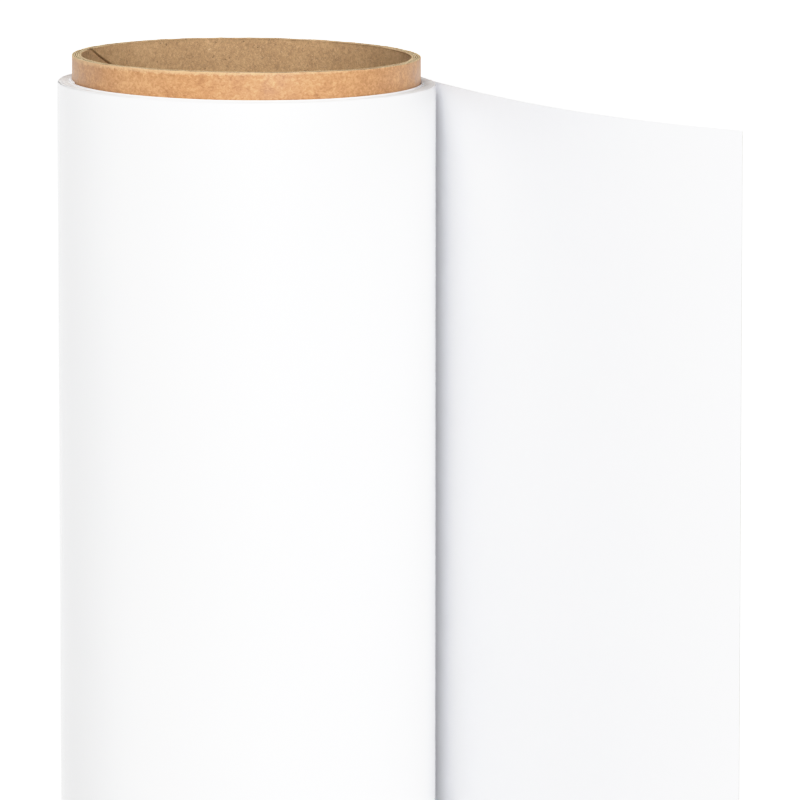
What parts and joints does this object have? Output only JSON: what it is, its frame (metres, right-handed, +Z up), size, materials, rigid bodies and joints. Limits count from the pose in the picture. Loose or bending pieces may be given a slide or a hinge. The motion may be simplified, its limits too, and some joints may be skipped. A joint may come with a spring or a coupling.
{
  "type": "roll of adhesive sign vinyl",
  "caption": "White self-adhesive sign film on a release liner, wound face out on a paper core longer than the web is wide, standing on end with its free web leading off to one side",
  "frame": {"origin": "middle of the core's bottom end, on the axis of the bore", "axes": "Z up the core's axis; the free web leads off the roll towards +X and -Y; X and Y level"},
  "size_m": [0.1525, 0.1384, 0.6216],
  "materials": {
    "core_kraft": "calendered kraft paper",
    "core_chipboard": "grey-brown chipboard",
    "tape": "thin clear adhesive tape",
    "face_film": "gloss white film",
    "release_liner": "white coated paper, soft sheen"
  },
  "bodies": {
    "roll": {"core_inner_ply": "core_chipboard", "core_body_ply_1": "core_chipboard", "core_body_ply_2": "core_chipboard", "core_body_ply_3": "core_chipboard", "core_outer_ply": "core_kraft", "start_tape_1": "tape", "start_tape_2": "tape", "start_tape_3": "tape", "wound_liner": "release_liner", "wound_film": "face_film"},
    "web_turn": {"outer_turn_liner": "release_liner", "outer_turn_film": "face_film"},
    "strip_1": {"strip_1_liner": "release_liner", "strip_1_film": "face_film"},
    "strip_2": {"strip_2_liner": "release_liner", "strip_2_film": "face_film"},
    "strip_3": {"strip_3_liner": "release_liner", "strip_3_film": "face_film"},
    "strip_4": {"strip_4_liner": "release_liner", "strip_4_film": "face_film"},
    "strip_5": {"strip_5_liner": "release_liner", "strip_5_film": "face_film"},
    "strip_6": {"strip_6_liner": "release_liner", "strip_6_film": "face_film"}
  },
  "joints": [
    {"name": "roll_turns_in_web", "type": "hinge", "parent": "roll", "child": "web_turn", "pos_m": [0, 0, 0.3048], "axis": [0, 0, 1], "continuous": true},
    {"name": "sheet_bend_1", "type": "hinge", "parent": "web_turn", "child": "strip_1", "pos_m": [0.04421, 0.00615, 0.3098], "axis": [0, 0, 1], "range_deg": [-23, 10], "stiffness_Nm_per_rad": 0.06},
    {"name": "sheet_bend_2", "type": "hinge", "parent": "strip_1", "child": "strip_2", "pos_m": [0.05194, -0.01251, 0.3098], "axis": [0, 0, 1], "range_deg": [-23, 10], "stiffness_Nm_per_rad": 0.06},
    {"name": "sheet_bend_3", "type": "hinge", "parent": "strip_2", "child": "strip_3", "pos_m": [0.06051, -0.0308, 0.3098], "axis": [0, 0, 1], "range_deg": [-23, 10], "stiffness_Nm_per_rad": 0.06},
    {"name": "sheet_bend_4", "type": "hinge", "parent": "strip_3", "child": "strip_4", "pos_m": [0.07024, -0.0485, 0.3098], "axis": [0, 0, 1], "range_deg": [-23, 10], "stiffness_Nm_per_rad": 0.06},
    {"name": "sheet_bend_5", "type": "hinge", "parent": "strip_4", "child": "strip_5", "pos_m": [0.08142, -0.06533, 0.3098], "axis": [0, 0, 1], "range_deg": [-23, 10], "stiffness_Nm_per_rad": 0.06},
    {"name": "sheet_bend_6", "type": "hinge", "parent": "strip_5", "child": "strip_6", "pos_m": [0.09427, -0.08092, 0.3098], "axis": [0, 0, 1], "range_deg": [-23, 10], "stiffness_Nm_per_rad": 0.06}
  ],
  "couplings": [
    {"joint": "sheet_bend_2", "follows": "sheet_bend_1", "ratio": 1},
    {"joint": "sheet_bend_3", "follows": "sheet_bend_1", "ratio": 1},
    {"joint": "sheet_bend_4", "follows": "sheet_bend_1", "ratio": 1},
    {"joint": "sheet_bend_5", "follows": "sheet_bend_1", "ratio": 1},
    {"joint": "sheet_bend_6", "follows": "sheet_bend_1", "ratio": 1}
  ]
}
